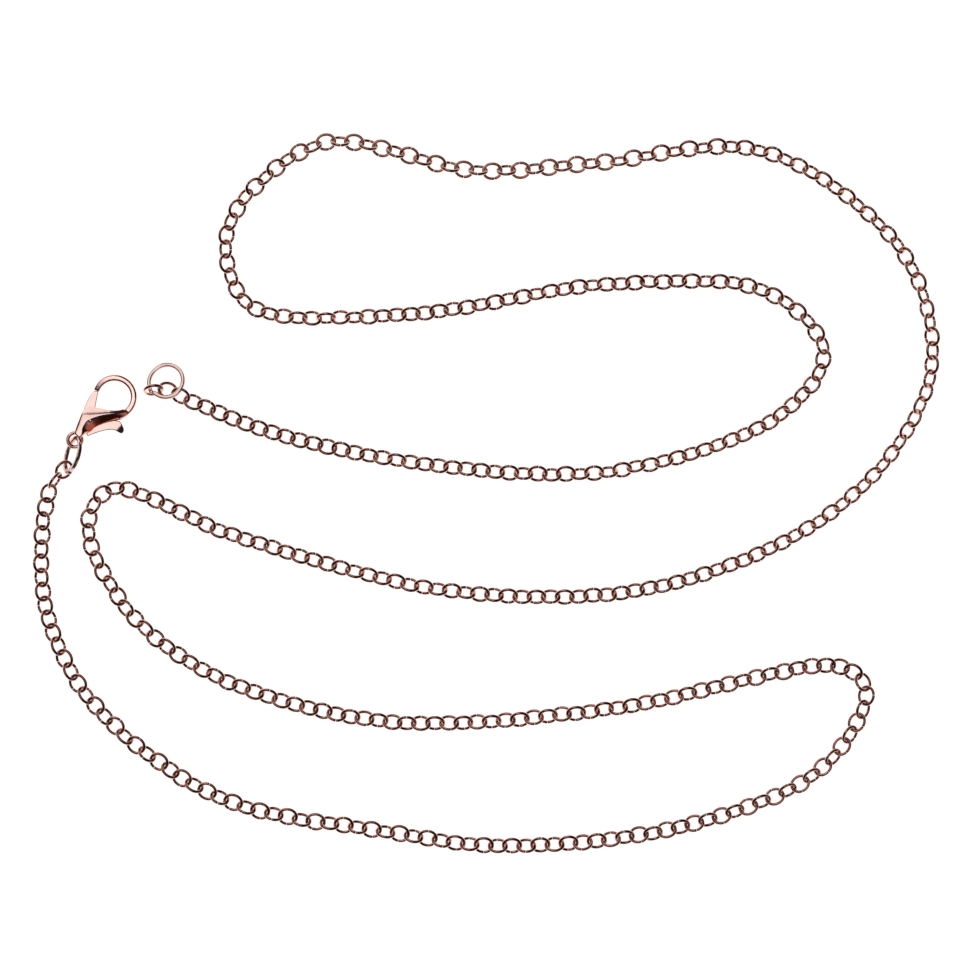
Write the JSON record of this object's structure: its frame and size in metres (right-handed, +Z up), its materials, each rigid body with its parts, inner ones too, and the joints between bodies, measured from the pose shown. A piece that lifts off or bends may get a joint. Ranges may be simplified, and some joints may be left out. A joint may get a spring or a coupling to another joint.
{
  "type": "chain necklace",
  "caption": "Rose gold chain necklace of fine oval wire links laid out in a serpentine, with a spring-levered lobster claw clasp on a jump ring and an end ring.",
  "frame": {"origin": "centre of the base of the box around the laid-out necklace, on the surface it lies on", "axes": "+X along the long way of the laid-out chain, away from the clasp; +Y across it, towards the upper bends; +Z up from the surface"},
  "size_m": [0.1192, 0.0946, 0.0046],
  "materials": {
    "chain_rose_gold": "polished rose gold plating, worn darker between the links",
    "clasp_rose_gold": "bright polished rose gold plating over a cast alloy",
    "spring_steel": "drawn wire"
  },
  "bodies": {
    "chain_run_01": {"chain_run_01": "chain_rose_gold"},
    "chain_run_02": {"chain_run_02": "chain_rose_gold"},
    "chain_run_03": {"chain_run_03": "chain_rose_gold"},
    "chain_run_04": {"chain_run_04": "chain_rose_gold"},
    "chain_run_05": {"chain_run_05": "chain_rose_gold"},
    "chain_run_06": {"chain_run_06": "chain_rose_gold"},
    "chain_run_07": {"chain_run_07": "chain_rose_gold"},
    "chain_run_08": {"chain_run_08": "chain_rose_gold"},
    "chain_run_09": {"chain_run_09": "chain_rose_gold"},
    "chain_run_10": {"chain_run_10": "chain_rose_gold"},
    "chain_run_11": {"chain_run_11": "chain_rose_gold"},
    "chain_run_12": {"chain_run_12": "chain_rose_gold"},
    "chain_run_13": {"chain_run_13": "chain_rose_gold"},
    "chain_run_14": {"chain_run_14": "chain_rose_gold"},
    "chain_run_15": {"chain_run_15": "chain_rose_gold"},
    "chain_run_16": {"chain_run_16": "chain_rose_gold"},
    "chain_run_17": {"chain_run_17": "chain_rose_gold"},
    "chain_run_18": {"chain_run_18": "chain_rose_gold"},
    "chain_run_19": {"chain_run_19": "chain_rose_gold"},
    "chain_run_20": {"chain_run_20": "chain_rose_gold"},
    "chain_run_21": {"chain_run_21": "chain_rose_gold"},
    "chain_run_22": {"chain_run_22": "chain_rose_gold"},
    "chain_run_23": {"chain_run_23": "chain_rose_gold"},
    "chain_run_24": {"chain_run_24": "chain_rose_gold"},
    "chain_run_25": {"chain_run_25": "chain_rose_gold"},
    "chain_run_26": {"chain_run_26": "chain_rose_gold"},
    "chain_run_27": {"chain_run_27": "chain_rose_gold"},
    "chain_run_28": {"chain_run_28": "chain_rose_gold"},
    "chain_run_29": {"chain_run_29": "chain_rose_gold"},
    "chain_run_30": {"chain_run_30": "chain_rose_gold"},
    "chain_run_31": {"chain_run_31": "chain_rose_gold"},
    "chain_run_32": {"chain_run_32": "chain_rose_gold"},
    "chain_run_33": {"chain_run_33": "chain_rose_gold"},
    "chain_run_34": {"chain_run_34": "chain_rose_gold"},
    "chain_run_35": {"chain_run_35": "chain_rose_gold"},
    "chain_run_36": {"chain_run_36": "chain_rose_gold"},
    "chain_run_37": {"chain_run_37": "chain_rose_gold"},
    "chain_run_38": {"chain_run_38": "chain_rose_gold"},
    "chain_run_39": {"chain_run_39": "chain_rose_gold"},
    "chain_run_40": {"chain_run_40": "chain_rose_gold"},
    "chain_run_41": {"chain_run_41": "chain_rose_gold"},
    "chain_run_42": {"chain_run_42": "chain_rose_gold"},
    "chain_run_43": {"chain_run_43": "chain_rose_gold"},
    "chain_run_44": {"chain_run_44": "chain_rose_gold"},
    "chain_run_45": {"chain_run_45": "chain_rose_gold"},
    "chain_run_46": {"chain_run_46": "chain_rose_gold"},
    "ring_end_link_1": {"ring_end_link_1": "chain_rose_gold"},
    "clasp_end_link_1": {"clasp_end_link_1": "chain_rose_gold"},
    "ring_end_link_2": {"ring_end_link_2": "chain_rose_gold"},
    "clasp_end_link_2": {"clasp_end_link_2": "chain_rose_gold"},
    "ring_end_link_3": {"ring_end_link_3": "chain_rose_gold"},
    "clasp_end_link_3": {"clasp_end_link_3": "chain_rose_gold"},
    "end_ring": {"end_ring": "chain_rose_gold"},
    "clasp_jump_ring": {"clasp_jump_ring": "chain_rose_gold"},
    "clasp_body": {"clasp_body": "clasp_rose_gold", "clasp_pivot_pin": "clasp_rose_gold", "clasp_spring": "spring_steel"},
    "clasp_lever": {"clasp_lever": "clasp_rose_gold"}
  },
  "joints": [
    {"name": "clasp_lever_hinge", "type": "hinge", "parent": "clasp_body", "child": "clasp_lever", "pos_m": [-0.05218, 0.00961, 0.0015], "axis": [0, 0, -1], "range_deg": [0, 35], "stiffness_Nm_per_rad": 0.01, "springref_deg": -17.19, "deforming": ["clasp_spring"]},
    {"name": "clasp_swivel", "type": "hinge", "parent": "clasp_jump_ring", "child": "clasp_body", "pos_m": [-0.05429, 0.00707, 0.0015], "axis": [0, 0, 1], "range_deg": [-60, 110]},
    {"name": "clasp_ring_hinge", "type": "hinge", "parent": "clasp_end_link_1", "child": "clasp_jump_ring", "pos_m": [-0.05517, 0.00385, 0.00089], "axis": [-0.7308, 0.536, 0.4226], "range_deg": [-40, 60]},
    {"name": "clasp_end_link_1_hinge", "type": "hinge", "parent": "clasp_end_link_2", "child": "clasp_end_link_1", "pos_m": [-0.05633, 0.00243, 0.00089], "axis": [-0.2633, 0.2183, 0.9397], "range_deg": [-38, 38]},
    {"name": "clasp_end_link_2_hinge", "type": "hinge", "parent": "clasp_end_link_3", "child": "clasp_end_link_2", "pos_m": [-0.05739, 0.00091, 0.00089], "axis": [-0.8328, 0.4353, -0.342], "range_deg": [-45, 45]},
    {"name": "clasp_end_link_3_hinge", "type": "hinge", "parent": "chain_run_46", "child": "clasp_end_link_3", "pos_m": [-0.05804, -0.00084, 0.00089], "axis": [-0.6843, 0.178, 0.7071], "range_deg": [-45, 45]},
    {"name": "end_ring_hinge", "type": "hinge", "parent": "ring_end_link_1", "child": "end_ring", "pos_m": [-0.04412, 0.01366, 0.0011], "axis": [0.5447, -0.8386, 0], "range_deg": [0, 120]},
    {"name": "ring_end_link_1_hinge", "type": "hinge", "parent": "ring_end_link_2", "child": "ring_end_link_1", "pos_m": [-0.04299, 0.01375, 0.00089], "axis": [-0.0074, 0.9397, -0.342], "range_deg": [-45, 0]},
    {"name": "ring_end_link_2_hinge", "type": "hinge", "parent": "ring_end_link_3", "child": "ring_end_link_2", "pos_m": [-0.0412, 0.01331, 0.00089], "axis": [0.3696, 0.7832, 0.5], "range_deg": [-45, 5]},
    {"name": "ring_end_link_3_hinge", "type": "hinge", "parent": "chain_run_01", "child": "ring_end_link_3", "pos_m": [-0.03955, 0.01244, 0.00089], "axis": [0.3222, 0.6294, -0.7071], "range_deg": [-45, 45]},
    {"name": "run_joint_01", "type": "hinge", "parent": "chain_run_02", "child": "chain_run_01", "pos_m": [-0.02555, 0.00731, 0.00089], "axis": [0.182, 0.6833, -0.7071], "range_deg": [-45, 45]},
    {"name": "run_joint_02", "type": "hinge", "parent": "chain_run_03", "child": "chain_run_02", "pos_m": [-0.01095, 0.00428, 0.00089], "axis": [-0.1065, -0.699, 0.7071], "range_deg": [-45, 45]},
    {"name": "run_joint_03", "type": "hinge", "parent": "chain_run_04", "child": "chain_run_03", "pos_m": [0.00389, 0.00271, 0.00089], "axis": [-0.0458, -0.7056, -0.7071], "range_deg": [-45, 45]},
    {"name": "run_joint_04", "type": "hinge", "parent": "chain_run_05", "child": "chain_run_04", "pos_m": [0.01876, 0.0033, 0.00089], "axis": [-0.1246, 0.696, 0.7071], "range_deg": [-45, 45]},
    {"name": "run_joint_05", "type": "hinge", "parent": "chain_run_06", "child": "chain_run_05", "pos_m": [0.03309, 0.00739, 0.00089], "axis": [-0.2723, 0.6526, -0.7071], "range_deg": [-45, 45]},
    {"name": "run_joint_06", "type": "hinge", "parent": "chain_run_07", "child": "chain_run_06", "pos_m": [0.04418, 0.01681, 0.00089], "axis": [0.6678, -0.2325, 0.7071], "range_deg": [-45, 45]},
    {"name": "run_joint_07", "type": "hinge", "parent": "chain_run_08", "child": "chain_run_07", "pos_m": [0.0353, 0.02719, 0.00089], "axis": [0.1993, 0.6784, -0.7071], "range_deg": [-45, 45]},
    {"name": "run_joint_08", "type": "hinge", "parent": "chain_run_09", "child": "chain_run_08", "pos_m": [0.02046, 0.02783, 0.00089], "axis": [0.0402, -0.706, 0.7071], "range_deg": [-45, 45]},
    {"name": "run_joint_09", "type": "hinge", "parent": "chain_run_10", "child": "chain_run_09", "pos_m": [0.00564, 0.02616, 0.00089], "axis": [0.1316, -0.6947, -0.7071], "range_deg": [-45, 45]},
    {"name": "run_joint_10", "type": "hinge", "parent": "chain_run_11", "child": "chain_run_10", "pos_m": [-0.00907, 0.0237, 0.00089], "axis": [-0.0598, 0.7046, 0.7071], "range_deg": [-45, 45]},
    {"name": "run_joint_11", "type": "hinge", "parent": "chain_run_12", "child": "chain_run_11", "pos_m": [-0.02398, 0.02315, 0.00089], "axis": [0.0267, 0.7066, -0.7071], "range_deg": [-45, 45]},
    {"name": "run_joint_12", "type": "hinge", "parent": "chain_run_13", "child": "chain_run_12", "pos_m": [-0.03435, 0.0313, 0.00089], "axis": [-0.9954, -0.0959, 0], "range_deg": [-45, 45]},
    {"name": "run_joint_13", "type": "hinge", "parent": "chain_run_14", "child": "chain_run_13", "pos_m": [-0.02705, 0.04349, 0.00089], "axis": [0.5839, -0.8118, 0], "range_deg": [-45, 45]},
    {"name": "run_joint_14", "type": "hinge", "parent": "chain_run_15", "child": "chain_run_14", "pos_m": [-0.01293, 0.04531, 0.00089], "axis": [-0.1879, -0.6817, 0.7071], "range_deg": [-45, 45]},
    {"name": "run_joint_15", "type": "hinge", "parent": "chain_run_16", "child": "chain_run_15", "pos_m": [0.00165, 0.04253, 0.00089], "axis": [0.0145, -0.707, -0.7071], "range_deg": [-45, 45]},
    {"name": "run_joint_16", "type": "hinge", "parent": "chain_run_17", "child": "chain_run_16", "pos_m": [0.01651, 0.04378, 0.00089], "axis": [-0.0868, 0.7018, 0.7071], "range_deg": [-45, 45]},
    {"name": "run_joint_17", "type": "hinge", "parent": "chain_run_18", "child": "chain_run_17", "pos_m": [0.0313, 0.04573, 0.00089], "axis": [-0.0017, 0.7071, -0.7071], "range_deg": [-45, 45]},
    {"name": "run_joint_18", "type": "hinge", "parent": "chain_run_19", "child": "chain_run_18", "pos_m": [0.04516, 0.04087, 0.00089], "axis": [-0.5511, -0.8344, 0], "range_deg": [-45, 45]},
    {"name": "run_joint_19", "type": "hinge", "parent": "chain_run_20", "child": "chain_run_19", "pos_m": [0.05565, 0.03043, 0.00089], "axis": [-0.8696, -0.4938, 0], "range_deg": [-45, 45]},
    {"name": "run_joint_20", "type": "hinge", "parent": "chain_run_21", "child": "chain_run_20", "pos_m": [0.05853, 0.01606, 0.00089], "axis": [0.6984, -0.1103, 0.7071], "range_deg": [-45, 45]},
    {"name": "run_joint_21", "type": "hinge", "parent": "chain_run_22", "child": "chain_run_21", "pos_m": [0.05152, 0.0031, 0.00089], "axis": [0.5291, -0.4691, -0.7071], "range_deg": [-45, 45]},
    {"name": "run_joint_22", "type": "hinge", "parent": "chain_run_23", "child": "chain_run_22", "pos_m": [0.03981, -0.006, 0.00089], "axis": [-0.3309, 0.6249, 0.7071], "range_deg": [-45, 45]},
    {"name": "run_joint_23", "type": "hinge", "parent": "chain_run_23", "child": "chain_run_24", "pos_m": [0.02593, -0.01141, 0.00089], "axis": [-0.1859, 0.6822, -0.7071], "range_deg": [-45, 45]},
    {"name": "run_joint_24", "type": "hinge", "parent": "chain_run_24", "child": "chain_run_25", "pos_m": [0.0112, -0.01356, 0.00089], "axis": [0.0251, -0.7067, 0.7071], "range_deg": [-45, 45]},
    {"name": "run_joint_25", "type": "hinge", "parent": "chain_run_25", "child": "chain_run_26", "pos_m": [-0.0037, -0.01296, 0.00089], "axis": [-0.0735, -0.7033, -0.7071], "range_deg": [-45, 45]},
    {"name": "run_joint_26", "type": "hinge", "parent": "chain_run_26", "child": "chain_run_27", "pos_m": [-0.01832, -0.01004, 0.00089], "axis": [0.1847, 0.6826, 0.7071], "range_deg": [-45, 45]},
    {"name": "run_joint_27", "type": "hinge", "parent": "chain_run_27", "child": "chain_run_28", "pos_m": [-0.03261, -0.00572, 0.00089], "axis": [0.2128, 0.6743, -0.7071], "range_deg": [-45, 45]},
    {"name": "run_joint_28", "type": "hinge", "parent": "chain_run_28", "child": "chain_run_29", "pos_m": [-0.04628, 0.00022, 0.00089], "axis": [-0.3254, -0.9456, 0], "range_deg": [-45, 45]},
    {"name": "run_joint_29", "type": "hinge", "parent": "chain_run_29", "child": "chain_run_30", "pos_m": [-0.05103, -0.00954, 0.00089], "axis": [0.6366, 0.3078, -0.7071], "range_deg": [-45, 45]},
    {"name": "run_joint_30", "type": "hinge", "parent": "chain_run_30", "child": "chain_run_31", "pos_m": [-0.04143, -0.02075, 0.00089], "axis": [-0.4092, -0.5767, 0.7071], "range_deg": [-45, 45]},
    {"name": "run_joint_31", "type": "hinge", "parent": "chain_run_31", "child": "chain_run_32", "pos_m": [-0.02797, -0.02703, 0.00089], "axis": [-0.2068, -0.6762, 0.7071], "range_deg": [-45, 45]},
    {"name": "run_joint_32", "type": "hinge", "parent": "chain_run_32", "child": "chain_run_33", "pos_m": [-0.01336, -0.02999, 0.00089], "axis": [0.07, 0.7036, -0.7071], "range_deg": [-45, 45]},
    {"name": "run_joint_33", "type": "hinge", "parent": "chain_run_33", "child": "chain_run_34", "pos_m": [0.00154, -0.02992, 0.00089], "axis": [-0.0545, 0.705, -0.7071], "range_deg": [-45, 45]},
    {"name": "run_joint_34", "type": "hinge", "parent": "chain_run_34", "child": "chain_run_35", "pos_m": [0.01639, -0.02837, 0.00089], "axis": [0.0869, -0.7017, 0.7071], "range_deg": [-45, 45]},
    {"name": "run_joint_35", "type": "hinge", "parent": "chain_run_35", "child": "chain_run_36", "pos_m": [0.03098, -0.02529, 0.00089], "axis": [0.1689, -0.6866, -0.7071], "range_deg": [-45, 45]},
    {"name": "run_joint_36", "type": "hinge", "parent": "chain_run_36", "child": "chain_run_37", "pos_m": [0.04563, -0.0227, 0.00089], "axis": [0.0468, 0.7056, 0.7071], "range_deg": [-45, 45]},
    {"name": "run_joint_37", "type": "hinge", "parent": "chain_run_37", "child": "chain_run_38", "pos_m": [0.04622, -0.03403, 0.00089], "axis": [0.7755, -0.6313, 0], "range_deg": [-45, 45]},
    {"name": "run_joint_38", "type": "hinge", "parent": "chain_run_38", "child": "chain_run_39", "pos_m": [0.03358, -0.04156, 0.00089], "axis": [0.2285, -0.6692, 0.7071], "range_deg": [-45, 45]},
    {"name": "run_joint_39", "type": "hinge", "parent": "chain_run_39", "child": "chain_run_40", "pos_m": [0.01911, -0.04515, 0.00089], "axis": [-0.1073, 0.6989, -0.7071], "range_deg": [-45, 45]},
    {"name": "run_joint_40", "type": "hinge", "parent": "chain_run_40", "child": "chain_run_41", "pos_m": [0.00425, -0.04641, 0.00089], "axis": [0.0118, -0.707, 0.7071], "range_deg": [-45, 45]},
    {"name": "run_joint_41", "type": "hinge", "parent": "chain_run_41", "child": "chain_run_42", "pos_m": [-0.01058, -0.045, 0.00089], "axis": [0.1186, 0.6971, -0.7071], "range_deg": [-45, 45]},
    {"name": "run_joint_42", "type": "hinge", "parent": "chain_run_42", "child": "chain_run_43", "pos_m": [-0.02534, -0.04278, 0.00089], "axis": [-0.1691, -0.9856, 0], "range_deg": [-45, 45]},
    {"name": "run_joint_43", "type": "hinge", "parent": "chain_run_43", "child": "chain_run_44", "pos_m": [-0.03935, -0.03794, 0.00089], "axis": [0.3572, 0.6102, -0.7071], "range_deg": [-45, 45]},
    {"name": "run_joint_44", "type": "hinge", "parent": "chain_run_44", "child": "chain_run_45", "pos_m": [-0.05097, -0.02866, 0.00089], "axis": [-0.5217, -0.4774, 0.7071], "range_deg": [-45, 45]},
    {"name": "run_joint_45", "type": "hinge", "parent": "chain_run_45", "child": "chain_run_46", "pos_m": [-0.05799, -0.01565, 0.00089], "axis": [0.6831, 0.1828, -0.7071], "range_deg": [-45, 45]}
  ]
}
